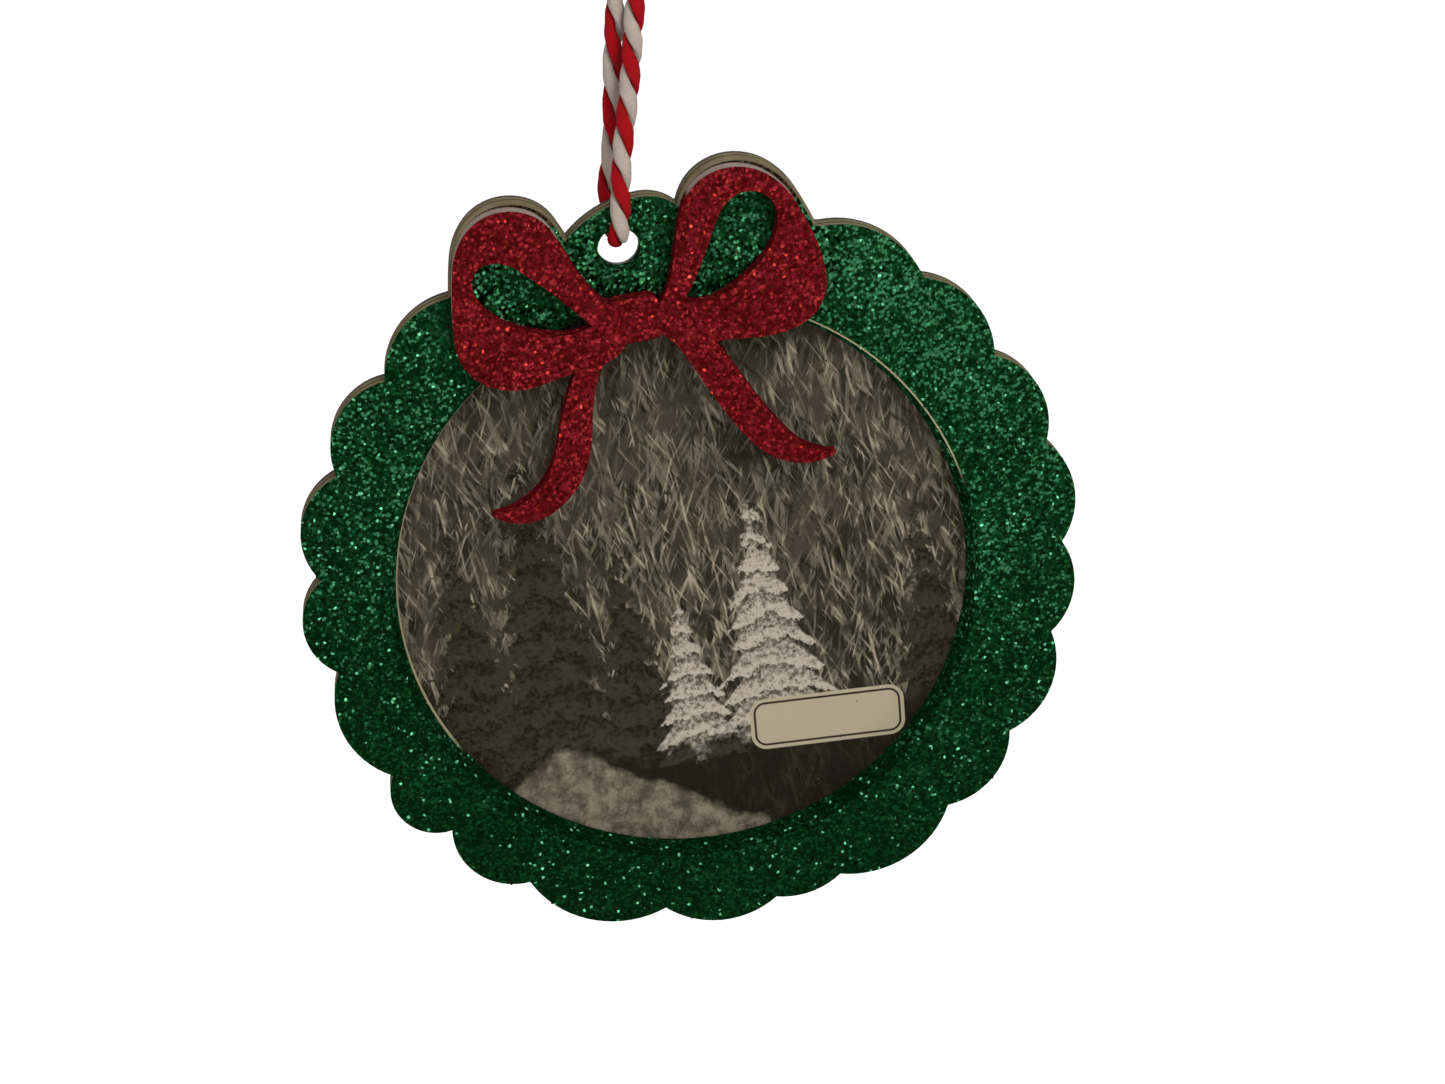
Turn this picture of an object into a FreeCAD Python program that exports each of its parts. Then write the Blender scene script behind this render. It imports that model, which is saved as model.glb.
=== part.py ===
"""Picture frame ornament: a flat wreath with a bow, hung by a loop of twine.

The ornament is a stack of flat layers. From the back: a thin dark back panel, a
spacer that leaves a pocket open at one side, the printed insert and its clear cover
in that pocket, the clear wreath plate with a round window, its green glitter film, and
on top of that the clear bow plate with its red glitter film. A loop of twine goes
through the hole in the wreath's top scallop, and its ends are tied in a knot.

Frame: millimetres, +Z up, the front looks towards -Y. The origin is on the back face,
behind the middle of the window.
"""
import FreeCAD
import Part

import math
import os

V = FreeCAD.Vector

# Layers, from the back to the front
back_panel_thickness = 0.4
spacer_thickness = 0.5
insert_thickness = 0.15
cover_thickness = 0.25
plate_thickness = 2.8
film_thickness = 0.15
bow_plate_thickness = 2.4
bow_film_thickness = 0.15

# Window and the ring round it
window_radius = 37.7
window_taper = 0.8
film_setback = 0.3
ring_width = 10.0
outline_offset_x = 1.2
outline_offset_z = 1.4
scallop_height = 2.4
first_notch_angle = 61.6
shoulder_dip = 3.0

# Tab over the window, flatter on its left, with the hole for the twine
tab_left_radius = 14.8
tab_right_radius = 6.0
tab_left_reach = 10.4
tab_offset_x = 2.2
tab_rise = 1.9
hole_radius = 2.65
hole_offset_x = -1.4
hole_wall_above = 3.35

# Pocket behind the window
insert_overlap = 1.6
pocket_clearance = 0.4
layer_clearance = 0.1
spacer_setback = 0.25

# How closely arcs follow the bow's smooth curves
arc_tolerance = 0.08

# Bow, measured from the middle between its lobes
bow_drop = 11.3
lobe_reach = 23.5
lobe_height = 22.6
lobe_margin = 0.6
lobe_shift_x = 0.3
film_lobe_margin = 0.2
eye_side_inset = 3.1
eye_top_inset = 9.2
tail_reach = 22.0
tail_drop = 23.0
knot_offset_x = -1.1
knot_width = 6.6
knot_height = 5.6
knot_corner = 1.2

# Twine
twine_diameter = 2.4
knot_gap = 0.05
knot_base_radius = 2.7
knot_middle_radius = 3.3
knot_top_radius = 2.0
knot_length = 5.6
knot_tail_diameter = 2.0
knot_tail_length = 5.0
knot_tail_spread = 20.0

# Each scallop of the wreath, clockwise from the bow's right-hand lobe: the angle that it
# takes, in degrees, its height as a share of the usual one, and how far the notch at its
# end stands off the notch circle, as a share of that height.
SCALLOPS = [
    (17.8, 0.85, 0.05), (16.8, 0.8, -0.2), (16.4, 0.95, 0.15), (16.5, 1.05, 0.1),
    (14.9, 0.9, 0.1), (17.6, 1.1, 0.15), (15.6, 0.95, 0.1), (20.6, 1.0, -0.1),
    (10.9, 0.25, -0.1), (18.0, 0.7, -0.2), (22.5, 1.05, 0.0), (15.5, 0.95, -0.3),
    (13.3, 1.1, -0.15), (19.4, 0.9, -0.2), (15.3, 1.1, -0.1), (17.0, 1.1, -0.2),
    (16.8, 0.85, -0.35), (15.9, 0.65, 0.1),
]

# Shares of a lobe's reach and height, outwards and upwards from the bow's middle.
# The lobes of the real bow differ a little, so each has its own curve.
LEFT_LOBE = [
    (-0.08, 0.07), (-0.32, 0.37), (-0.48, 0.67), (-0.64, 0.72), (-0.84, 0.64),
    (-0.95, 0.40), (-0.99, 0.15), (-0.99, -0.04), (-0.89, -0.21), (-0.68, -0.28),
    (-0.42, -0.24), (-0.11, -0.13),
]
RIGHT_LOBE = [
    (0.08, 0.05), (0.23, 0.38), (0.35, 0.66), (0.58, 0.75), (0.79, 0.65),
    (0.92, 0.42), (0.99, 0.14), (0.97, -0.05), (0.85, -0.18), (0.63, -0.22),
    (0.38, -0.20), (0.10, -0.12),
]
# Shares of an eye's reach and height: the open teardrop inside each lobe, from its tip
LEFT_EYE = [
    (-0.31, 0.01), (-0.47, 0.31), (-0.66, 0.60), (-0.84, 0.76), (-0.96, 0.68),
    (-0.98, 0.50), (-0.91, 0.28), (-0.69, 0.06), (-0.46, -0.03),
]
RIGHT_EYE = [
    (0.26, 0.10), (0.37, 0.34), (0.50, 0.70), (0.60, 0.93), (0.72, 1.01),
    (0.87, 0.92), (0.90, 0.70), (0.82, 0.44), (0.61, 0.18), (0.40, 0.06),
]
# Shares of a tail's reach and drop: its outer edge down to the tip, then its inner edge
LEFT_TAIL_OUTER = [
    (-0.30, -0.06), (-0.45, -0.27), (-0.56, -0.50), (-0.66, -0.75), (-0.83, -0.90), (-1.04, -0.95),
]
LEFT_TAIL_INNER = [
    (-1.04, -0.95), (-0.83, -1.02), (-0.59, -0.93), (-0.45, -0.76), (-0.38, -0.51), (-0.30, -0.27),
    (-0.12, -0.06),
]
RIGHT_TAIL_OUTER = [
    (0.28, -0.06), (0.46, -0.33), (0.56, -0.53), (0.69, -0.74), (0.81, -0.87), (0.97, -0.94),
]
RIGHT_TAIL_INNER = [
    (0.97, -0.94), (0.78, -0.97), (0.61, -0.90), (0.44, -0.71), (0.30, -0.45), (0.19, -0.23),
    (0.08, -0.06),
]

# The twine's route in millimetres, from the knot down in front of the tab, through the
# hole and up behind it, back to the knot.
TWINE_ROUTE = [
    (10.9, -2.1, 101.3), (10.2, -2.1, 97.8), (10.8, -2.1, 94.0), (11.6, -2.1, 89.1),
    (10.5, -2.2, 84.2), (7.8, -2.5, 79.5), (5.5, -2.9, 74.8), (4.2, -3.3, 69.0),
    (2.7, -3.9, 63.1), (0.9, -4.9, 57.3), (-0.3, -5.6, 51.6), (-0.8, -5.8, 47.8),
    (-1.1, -4.1, 46.0), (-1.3, 0.2, 46.0), (-1.5, 1.9, 47.8), (-1.5, 1.7, 51.5),
    (0.0, 0.8, 56.6), (1.0, -0.2, 62.7), (2.0, -0.9, 68.9), (3.1, -1.3, 74.9),
    (2.9, -1.7, 80.5), (2.2, -2.0, 85.8), (3.1, -2.1, 90.9), (5.8, -2.1, 95.0),
    (7.8, -2.1, 98.3), (8.5, -2.1, 101.8),
]

# Each layer's back face stands this far in front of the origin
spacer_base = back_panel_thickness
plate_base = spacer_base + spacer_thickness
film_base = plate_base + plate_thickness
bow_base = film_base + film_thickness
bow_film_base = bow_base + bow_plate_thickness
insert_base = spacer_base + layer_clearance / 2
cover_base = insert_base + insert_thickness

notch_radius = window_radius + ring_width
tab_top = outline_offset_z + notch_radius + tab_rise
hole_z = tab_top - hole_wall_above - hole_radius
bow_z = notch_radius - bow_drop
eye_reach = lobe_reach - eye_side_inset
eye_height = lobe_height - eye_top_inset
insert_radius = window_radius + insert_overlap
pocket_radius = insert_radius + pocket_clearance


def polar(radius, angle):
    """Point on a circle about the scalloped outline's middle, in the plane of the back face."""
    turn = math.radians(angle)
    return V(outline_offset_x + radius * math.cos(turn), 0, outline_offset_z + radius * math.sin(turn))


def prism(face, base, thickness):
    """Layer of a thickness, from a face in the plane of the back face, standing on a base."""
    face = face.copy()
    face.translate(V(0, -base, 0))
    return face.extrude(V(0, -thickness, 0))


def disc(radius, x=0.0, z=0.0):
    """Round face in the plane of the back face."""
    circle = Part.Circle(V(x, 0, z), V(0, -1, 0), radius)
    return Part.Face(Part.Wire([circle.toShape()]))


def scalloped_face(setback):
    """Face of the scalloped disc, with its edge set back inwards."""
    base = notch_radius - setback
    angle = first_notch_angle
    first = polar(base, angle)
    start = first
    edges = []
    for turn, height, notch in SCALLOPS:
        crest = polar(base + height * scallop_height, angle - turn / 2)
        angle -= turn
        end = polar(base + notch * scallop_height, angle)
        edges.append(Part.Arc(start, crest, end).toShape())
        start = end
    middle = (first_notch_angle + angle + 360) / 2
    shoulder = Part.Arc(start, polar(base - shoulder_dip, middle), first)
    edges.append(shoulder.toShape())
    return Part.Face(Part.Wire(edges))


def tab_face(setback):
    """Face of the tab: a flat arc on the left and a round one on the right of its top."""
    left_radius = tab_left_radius - setback
    right_radius = tab_right_radius - setback
    left_reach = tab_left_reach - setback
    top = V(tab_offset_x, 0, tab_top - setback)
    left_centre = top - V(0, 0, left_radius)
    right_centre = top - V(0, 0, right_radius)
    left_turn = math.asin(left_reach / left_radius)
    left = left_centre + V(-left_reach, 0, left_radius * math.cos(left_turn))
    left_middle = left_centre + V(-left_radius * math.sin(left_turn / 2), 0, left_radius * math.cos(left_turn / 2))
    right = right_centre + V(right_radius, 0, 0)
    right_middle = right_centre + V(right_radius, 0, right_radius) * math.sqrt(0.5)
    low_right = V(right.x, 0, left_centre.z)
    low_left = V(left.x, 0, left_centre.z)
    edges = [
        Part.Arc(left, left_middle, top).toShape(),
        Part.Arc(top, right_middle, right).toShape(),
        Part.LineSegment(right, low_right).toShape(),
        Part.LineSegment(low_right, low_left).toShape(),
        Part.LineSegment(low_left, left).toShape(),
    ]
    return Part.Face(Part.Wire(edges))


def smooth_edges(points, closed=False):
    """Tangent arcs that follow a smooth curve through points."""
    curve = Part.BSplineCurve()
    curve.interpolate(points, PeriodicFlag=closed)
    return [arc.toShape() for arc in curve.toBiArcs(arc_tolerance)]


def bow_points(shares, reach, height):
    """Points of the bow from their shares of a reach and a height."""
    return [V(x * reach, 0, bow_z + z * height) for x, z in shares]


def lobe_faces(margin=0.0, shift=0.0):
    """Faces of the two lobes without their eyes, grown outwards by a margin and moved along X."""
    faces = []
    for shares in (LEFT_LOBE, RIGHT_LOBE):
        points = bow_points(shares, lobe_reach, lobe_height)
        middle = sum(points, V()) * (1 / len(points))
        grown = [p + (p - middle).normalize() * margin + V(shift, 0, 0) for p in points]
        faces.append(Part.Face(Part.Wire(smooth_edges(grown, closed=True))))
    return faces


def eye_faces():
    """Faces of the two teardrops, each a smooth curve that starts and ends in one sharp tip."""
    faces = []
    for shares in (LEFT_EYE, RIGHT_EYE):
        points = bow_points(shares, eye_reach, eye_height)
        faces.append(Part.Face(Part.Wire(smooth_edges(points + [points[0]]))))
    return faces


def tail_faces():
    """Faces of the two ribbon tails, each between its outer and inner edges."""
    faces = []
    for sides in ((LEFT_TAIL_OUTER, LEFT_TAIL_INNER), (RIGHT_TAIL_OUTER, RIGHT_TAIL_INNER)):
        outer, inner = [bow_points(shares, tail_reach, tail_drop) for shares in sides]
        edges = smooth_edges(outer) + smooth_edges(inner)
        edges.append(Part.LineSegment(inner[-1], outer[0]).toShape())
        faces.append(Part.Face(Part.Wire(edges)))
    return faces


def knot_face():
    """Rounded rectangle of the bow's knot."""
    corner = V(knot_offset_x - knot_width / 2, 0, bow_z - knot_height / 2)
    box = Part.makeBox(knot_width, 1, knot_height, corner)
    uprights = [e for e in box.Edges if abs(e.tangentAt(e.FirstParameter).y) > 0.5]
    rounded = box.makeFillet(knot_corner, uprights)
    return next(f for f in rounded.Faces if f.normalAt(0, 0).y < -0.5)


def bow_layer(base, thickness):
    """Layer in the shape of the bow: lobes, knot and tails, with the eyes open."""
    knot = prism(knot_face(), base, thickness)
    layer = knot.fuse([prism(f, base, thickness) for f in lobe_faces() + tail_faces()])
    layer = layer.cut([prism(f, base, thickness) for f in eye_faces()])
    return layer.removeSplitter()


def outline_layer(base, thickness, setback=0.0, margin=lobe_margin):
    """Layer in the ornament's whole outline: scallops, tab and lobes, with the twine's hole."""
    faces = lobe_faces(margin - setback, lobe_shift_x)
    faces.append(tab_face(setback))
    layer = prism(scalloped_face(setback), base, thickness)
    layer = layer.fuse([prism(f, base, thickness) for f in faces])
    layer = layer.cut(prism(disc(hole_radius, hole_offset_x, hole_z), base, thickness))
    return layer.removeSplitter()


def wreath_plate():
    """Clear wreath plate, whose round window is widest at the front."""
    back = V(0, -plate_base, 0)
    window = Part.makeCone(window_radius - window_taper, window_radius, plate_thickness, back, V(0, -1, 0))
    return outline_layer(plate_base, plate_thickness).cut(window)


def wreath_film():
    """Green glitter film, which stops a little short of the window's edge."""
    window = prism(disc(window_radius + film_setback), film_base, film_thickness)
    return outline_layer(film_base, film_thickness, margin=film_lobe_margin).cut(window)


def back_panel():
    """Thin panel that closes the ornament at the back."""
    return outline_layer(0, back_panel_thickness)


def pocket_spacer():
    """Spacer round the pocket, open towards +X so that the insert slides in."""
    layer = outline_layer(spacer_base, spacer_thickness, spacer_setback)
    pocket = prism(disc(pocket_radius), spacer_base, spacer_thickness)
    corner = V(0, -plate_base, -pocket_radius)
    mouth = Part.makeBox(2 * notch_radius, spacer_thickness, 2 * pocket_radius, corner)
    return layer.cut([pocket, mouth]).removeSplitter()


def photo_insert():
    """Printed card in the pocket."""
    return prism(disc(insert_radius), insert_base, insert_thickness)


def window_cover():
    """Clear film in front of the printed card."""
    return prism(disc(insert_radius), cover_base, cover_thickness)


def route_wire(points):
    """Straight runs joined by tangent arcs, each as large as its two runs allow."""
    points = [V(*p) for p in points]
    edges = []
    radii = []
    start = points[0]
    for before, corner, after in zip(points, points[1:], points[2:]):
        to_before = (before - corner).normalize()
        to_after = (after - corner).normalize()
        shorter = min((before - corner).Length, (after - corner).Length)
        half_turn = (math.pi - to_before.getAngle(to_after)) / 2
        reach = 0.45 * shorter
        radius = reach / math.tan(half_turn)
        arc_start = corner + to_before * reach
        arc_end = corner + to_after * reach
        centre_way = (to_before + to_after).normalize()
        centre = corner + centre_way * (radius / math.cos(half_turn))
        edges.append(Part.LineSegment(start, arc_start).toShape())
        edges.append(Part.Arc(arc_start, centre - centre_way * radius, arc_end).toShape())
        radii.append(radius)
        start = arc_end
    edges.append(Part.LineSegment(start, points[-1]).toShape())
    return Part.Wire(edges), radii


def twine_loop():
    """Loop of twine from the knot through the tab's hole and back to the knot."""
    wire, radii = route_wire(TWINE_ROUTE)
    start, after = [V(*p) for p in TWINE_ROUTE[:2]]
    circle = Part.Circle(start, after - start, twine_diameter / 2)
    tube = wire.makePipeShell([Part.Wire([circle.toShape()])], True, False)
    print("bend radii", " ".join("%.1f" % r for r in radii))
    expected = math.pi * twine_diameter ** 2 / 4 * wire.Length
    print("twine length %.1f, volume %.2f, section times length %.2f" % (wire.Length, tube.Volume, expected))
    return tube


def twine_knot():
    """Knot on the twine's two ends, which enter it side by side, with two short cut tails."""
    start, after = [V(*p) for p in TWINE_ROUTE[:2]]
    end = V(*TWINE_ROUTE[-1])
    up = (start - after).normalize()
    across = (start - end).normalize()
    base = (start + end) * 0.5 + up * knot_gap
    top = base + up * knot_length
    low = base + across * knot_base_radius
    high = top + across * knot_top_radius
    middle = (base + top) * 0.5 + across * knot_middle_radius
    edges = [
        Part.LineSegment(base, low).toShape(),
        Part.Arc(low, middle, high).toShape(),
        Part.LineSegment(high, top).toShape(),
        Part.LineSegment(top, base).toShape(),
    ]
    lump = Part.Face(Part.Wire(edges)).revolve(base, up, 360)
    root = (base + top) * 0.5
    tails = []
    for side in (-1, 1):
        lean = math.radians(side * knot_tail_spread)
        way = up * math.cos(lean) + across * math.sin(lean)
        length = knot_length / 2 + knot_tail_length
        tails.append(Part.makeCylinder(knot_tail_diameter / 2, length, root, way))
    return lump.fuse(tails).removeSplitter()


def main():
    """Build each piece and write it to its own file."""
    pieces = {
        "back_panel": back_panel(),
        "pocket_spacer": pocket_spacer(),
        "photo_insert": photo_insert(),
        "window_cover": window_cover(),
        "wreath_plate": wreath_plate(),
        "wreath_film": wreath_film(),
        "bow_plate": bow_layer(bow_base, bow_plate_thickness),
        "bow_film": bow_layer(bow_film_base, bow_film_thickness),
        "twine_loop": twine_loop(),
        "twine_knot": twine_knot(),
    }
    os.makedirs("parts", exist_ok=True)
    for name, shape in pieces.items():
        facts = (name, len(shape.Solids), shape.isValid(), shape.Volume)
        print("%-14s solids %d valid %s volume %.1f" % facts)
        shape.exportStep("parts/%s.step" % name)


main()
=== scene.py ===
"""Looks of the picture frame ornament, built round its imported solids.

The flat layers keep their solids and get procedural finishes. The twine and its knot
are modelled here as a twist of two strands, and loose flakes lie on the glitter.
Lengths are in metres, in the row's frame: +Z up, and the front looks towards -Y.
"""
import logging
import math
import random
from collections.abc import Sequence
from dataclasses import dataclass, field
from enum import Enum

import bmesh
import bpy
from mathutils import Matrix, Vector
from mathutils.bvhtree import BVHTree


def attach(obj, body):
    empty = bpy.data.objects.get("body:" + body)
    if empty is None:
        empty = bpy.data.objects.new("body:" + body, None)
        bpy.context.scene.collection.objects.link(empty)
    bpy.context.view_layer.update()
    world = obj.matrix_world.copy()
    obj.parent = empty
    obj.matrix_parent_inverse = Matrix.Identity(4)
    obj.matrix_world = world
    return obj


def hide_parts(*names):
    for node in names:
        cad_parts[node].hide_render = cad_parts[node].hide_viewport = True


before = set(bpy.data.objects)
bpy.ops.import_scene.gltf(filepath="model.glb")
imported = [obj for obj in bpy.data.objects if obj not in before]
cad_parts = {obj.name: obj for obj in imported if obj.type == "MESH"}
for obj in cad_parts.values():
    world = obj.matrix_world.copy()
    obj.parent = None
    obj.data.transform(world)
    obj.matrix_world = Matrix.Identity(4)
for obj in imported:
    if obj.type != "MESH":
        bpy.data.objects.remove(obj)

BODY = "root"
MM = 0.001
# Noise and the flakes' random colours lie on both sides of this.
NOISE_MIDDLE = 0.5
PURE_WHITE = (1.0, 1.0, 1.0, 1.0)
Colour = tuple[float, float, float]
Place = tuple[float, float, float]
Range = tuple[float, float]
Socket = bpy.types.NodeSocket
Material = bpy.types.Material
log = logging.getLogger("ornament")


class Strand(Enum):
    """The two strands of the twine, by their place in the twist."""

    RED = 0
    WHITE = 1


def srgb(code: str) -> Colour:
    """Linear colour of a hexadecimal colour code.

    Args:
        code: six hexadecimal digits after a hash.

    Returns:
        The colour's linear red, green and blue.
    """
    parts = [int(code[i:i + 2], 16) / 255 for i in (1, 3, 5)]
    return tuple(c / 12.92 if c <= 0.04045 else ((c + 0.055) / 1.055) ** 2.4 for c in parts)


class Bench:
    """A node tree, with short ways to add its nodes and join them."""

    def __init__(self, tree: bpy.types.NodeTree) -> None:
        """Work on a tree."""
        self.tree = tree

    def feed(self, socket: Socket, value: object) -> None:
        """Give an input a link, a number, a vector or a colour.

        Args:
            socket: the input.
            value: an output to link, or the constant.
        """
        if isinstance(value, Socket):
            self.tree.links.new(value, socket)
        elif socket.type == "RGBA" and isinstance(value, tuple) and len(value) == 3:
            socket.default_value = (*value, 1.0)
        else:
            socket.default_value = value

    def add(self, kind: str, inputs: dict | None = None, **settings: object) -> bpy.types.Node:
        """Add a node.

        Args:
            kind: the node's type name, without its prefix.
            inputs: what goes into which input, by name or number.
            settings: the node's own properties.

        Returns:
            The new node.
        """
        node = self.tree.nodes.new("ShaderNode" + kind)
        for name, value in settings.items():
            setattr(node, name, value)
        for key, value in (inputs or {}).items():
            self.feed(node.inputs[key], value)
        return node

    def math(self, operation: str, a: object, b: object = 0.0, clamp: bool = False) -> Socket:
        """Result of a sum or another operation on two numbers."""
        return self.add("Math", {0: a, 1: b}, operation=operation, use_clamp=clamp).outputs[0]

    def plus(self, a: object, b: object) -> Socket:
        """Sum of two numbers."""
        return self.math("ADD", a, b)

    def minus(self, a: object, b: object) -> Socket:
        """The first number less the second."""
        return self.math("SUBTRACT", a, b)

    def times(self, a: object, b: object) -> Socket:
        """Product of two numbers."""
        return self.math("MULTIPLY", a, b)

    def vector(self, operation: str, a: object, b: object = (0.0, 0.0, 0.0)) -> Socket:
        """Result of an operation on two vectors."""
        return self.add("VectorMath", {0: a, 1: b}, operation=operation).outputs[0]

    def scaled(self, vector: object, factor: object) -> Socket:
        """A vector times a number."""
        return self.add("VectorMath", {0: vector, "Scale": factor}, operation="SCALE").outputs[0]

    def length(self, vector: object) -> Socket:
        """A vector's length."""
        return self.add("VectorMath", {0: vector}, operation="LENGTH").outputs["Value"]

    def axes(self, vector: object) -> bpy.types.NodeOutputs:
        """A vector's three numbers."""
        return self.add("SeparateXYZ", {0: vector}).outputs

    def mix(self, factor: object, a: object, b: object) -> Socket:
        """Mix two colours.

        Args:
            factor: the second colour's share.
            a: the first colour.
            b: the second colour.

        Returns:
            The mixed colour.
        """
        node = self.add("Mix", data_type="RGBA")
        self.feed(node.inputs[0], factor)
        self.feed(node.inputs[6], a)
        self.feed(node.inputs[7], b)
        return node.outputs[2]

    def smooth(self, value: object, low: object, high: object) -> Socket:
        """Let a value rise smoothly from 0 to 1.

        Args:
            value: what rises.
            low: the value at which it is 0.
            high: the value at which it is 1, which may be below low.

        Returns:
            The share.
        """
        node = self.add("MapRange", interpolation_type="SMOOTHSTEP")
        for key, item in (("Value", value), ("From Min", low), ("From Max", high)):
            self.feed(node.inputs[key], item)
        return node.outputs[0]

    def noise(self, place: object, scale: object, detail: float = 2.0, rough: float = 0.5) -> Socket:
        """Noise at a place, about 0 to 1."""
        inputs = {"Vector": place, "Scale": scale, "Detail": detail, "Roughness": rough}
        return self.add("TexNoise", inputs).outputs[0]


class Effect:
    """A shader node group with named inputs and outputs, built once and used by many materials."""

    def __init__(self, name: str, inputs: dict[str, str], outputs: dict[str, str]) -> None:
        """Make the empty group.

        Args:
            name: the group's name.
            inputs: kinds of the inputs by name: Float, Vector or Color.
            outputs: kinds of the outputs by name.
        """
        self.tree = bpy.data.node_groups.new(name, "ShaderNodeTree")
        for in_out, sockets in (("INPUT", inputs), ("OUTPUT", outputs)):
            for label, kind in sockets.items():
                self.tree.interface.new_socket(name=label, in_out=in_out, socket_type="NodeSocket" + kind)
        self.bench = Bench(self.tree)
        self.given = self.tree.nodes.new("NodeGroupInput").outputs
        self.result = self.tree.nodes.new("NodeGroupOutput").inputs

    def put(self, name: str, value: object) -> None:
        """Send a value to an output."""
        self.bench.feed(self.result[name], value)

    def use(self, bench: Bench, inputs: dict[str, object]) -> bpy.types.NodeOutputs:
        """Place the group in a material.

        Args:
            bench: the material's tree.
            inputs: what goes into which input.

        Returns:
            The placed group's outputs.
        """
        node = bench.tree.nodes.new("ShaderNodeGroup")
        node.node_tree = self.tree
        for key, value in inputs.items():
            bench.feed(node.inputs[key], value)
        return node.outputs


class Effects:
    """The effects that the finishes share."""

    def __init__(self) -> None:
        """Build each group."""
        self.flakes = self.build_flakes()
        self.grain = self.build_grain()
        self.fir = self.build_fir()
        self.grass = self.build_grass()

    @staticmethod
    def build_flakes() -> Effect:
        """Glitter: random flakes in four tones, each with its own tilt.

        Returns:
            The group.
        """
        cloud_scale = 160.0
        cloud_weight = 0.5
        middle_tone = (0.15, 0.75)
        light_tone = (0.80, 0.95)
        spark_fade = 0.004
        rim_shade = (0.75, 0.35)
        rim_weight = 0.6
        least_roughness = 0.22
        roughness_spread = 0.3
        effect = Effect(
            "glitter_flakes",
            {"Place": "Vector", "Flakes Per Metre": "Float", "Dark": "Color", "Middle": "Color",
             "Light": "Color", "Spark": "Color", "Spark Share": "Float", "Tilt": "Float", "Lift": "Float"},
            {"Color": "Color", "Normal": "Vector", "Roughness": "Float"},
        )
        bench = effect.bench
        given = effect.given
        cells = bench.add("TexVoronoi", {"Vector": given["Place"], "Scale": given["Flakes Per Metre"]})
        chance = bench.add("SeparateColor", {0: cells.outputs["Color"]}).outputs
        cloud = bench.noise(given["Place"], cloud_scale, detail=3.0, rough=0.6)
        cloud = bench.times(bench.minus(cloud, NOISE_MIDDLE), cloud_weight)
        # The lift is painted light: where it is higher, more flakes take the middle and light tones.
        pick = bench.plus(bench.plus(chance[0], cloud), given["Lift"])
        colour = bench.mix(bench.smooth(pick, *middle_tone), given["Dark"], given["Middle"])
        colour = bench.mix(bench.smooth(pick, *light_tone), colour, given["Light"])
        # Spark flakes are painted glints: a share of the flakes take the bright spark colour under any
        # light.
        limit = bench.minus(1.0, given["Spark Share"])
        spark = bench.smooth(chance[1], limit, bench.plus(limit, spark_fade))
        colour = bench.mix(spark, colour, given["Spark"])
        shade = bench.smooth(cells.outputs["Distance"], *rim_shade)
        colour = bench.mix(bench.times(bench.minus(1.0, shade), rim_weight), colour, given["Dark"])
        lean = bench.vector("SUBTRACT", cells.outputs["Color"], (NOISE_MIDDLE,) * 3)
        normal = bench.add("NewGeometry").outputs["Normal"]
        normal = bench.vector("ADD", normal, bench.scaled(lean, given["Tilt"]))
        effect.put("Color", colour)
        effect.put("Normal", bench.vector("NORMALIZE", normal))
        effect.put("Roughness", bench.plus(least_roughness, bench.times(chance[2], roughness_spread)))
        return effect

    @staticmethod
    def build_grain() -> Effect:
        """Fine mottling of a colour, with a height for bump.

        Returns:
            The group.
        """
        effect = Effect(
            "surface_grain",
            {"Place": "Vector", "Scale": "Float", "Color": "Color", "Amount": "Float"},
            {"Color": "Color", "Height": "Float"},
        )
        bench = effect.bench
        given = effect.given
        noise = bench.noise(given["Place"], given["Scale"], detail=5.0)
        shade = bench.times(bench.minus(noise, NOISE_MIDDLE), given["Amount"])
        factor = bench.plus(1.0, bench.times(shade, 1.0 / NOISE_MIDDLE))
        effect.put("Color", bench.scaled(given["Color"], factor))
        effect.put("Height", noise)
        return effect

    @staticmethod
    def build_grass() -> Effect:
        """Long thin blades of grass that lean one way, as a mask.

        Returns:
            The group.
        """
        patch_scale = 0.32
        patch_range = (0.3, 0.62)
        bend_scale = 0.12
        bend_reach = 1.6
        blade_fade = 0.10
        effect = Effect(
            "grass_blades",
            {"Place": "Vector", "Turn": "Float", "Across Scale": "Float", "Along Scale": "Float",
             "Limit": "Float"},
            {"Mask": "Float"},
        )
        bench = effect.bench
        given = effect.given
        patches = bench.noise(given["Place"], patch_scale, detail=3.0, rough=0.6)
        patches = bench.smooth(patches, *patch_range)
        turned = bench.add("VectorRotate", {"Vector": given["Place"], "Angle": given["Turn"]},
                           rotation_type="Y_AXIS").outputs[0]
        scales = {0: given["Across Scale"], 1: 1.0, 2: given["Along Scale"]}
        place = bench.vector("MULTIPLY", turned, bench.add("CombineXYZ", scales).outputs[0])
        bend = bench.add("TexNoise", {"Vector": given["Place"], "Scale": bend_scale}).outputs["Color"]
        place = bench.vector("ADD", place, bench.scaled(bend, bend_reach))
        blades = bench.noise(place, 1.0, rough=0.45)
        blades = bench.smooth(blades, given["Limit"], bench.plus(given["Limit"], blade_fade))
        effect.put("Mask", bench.times(blades, patches))
        return effect

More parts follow.
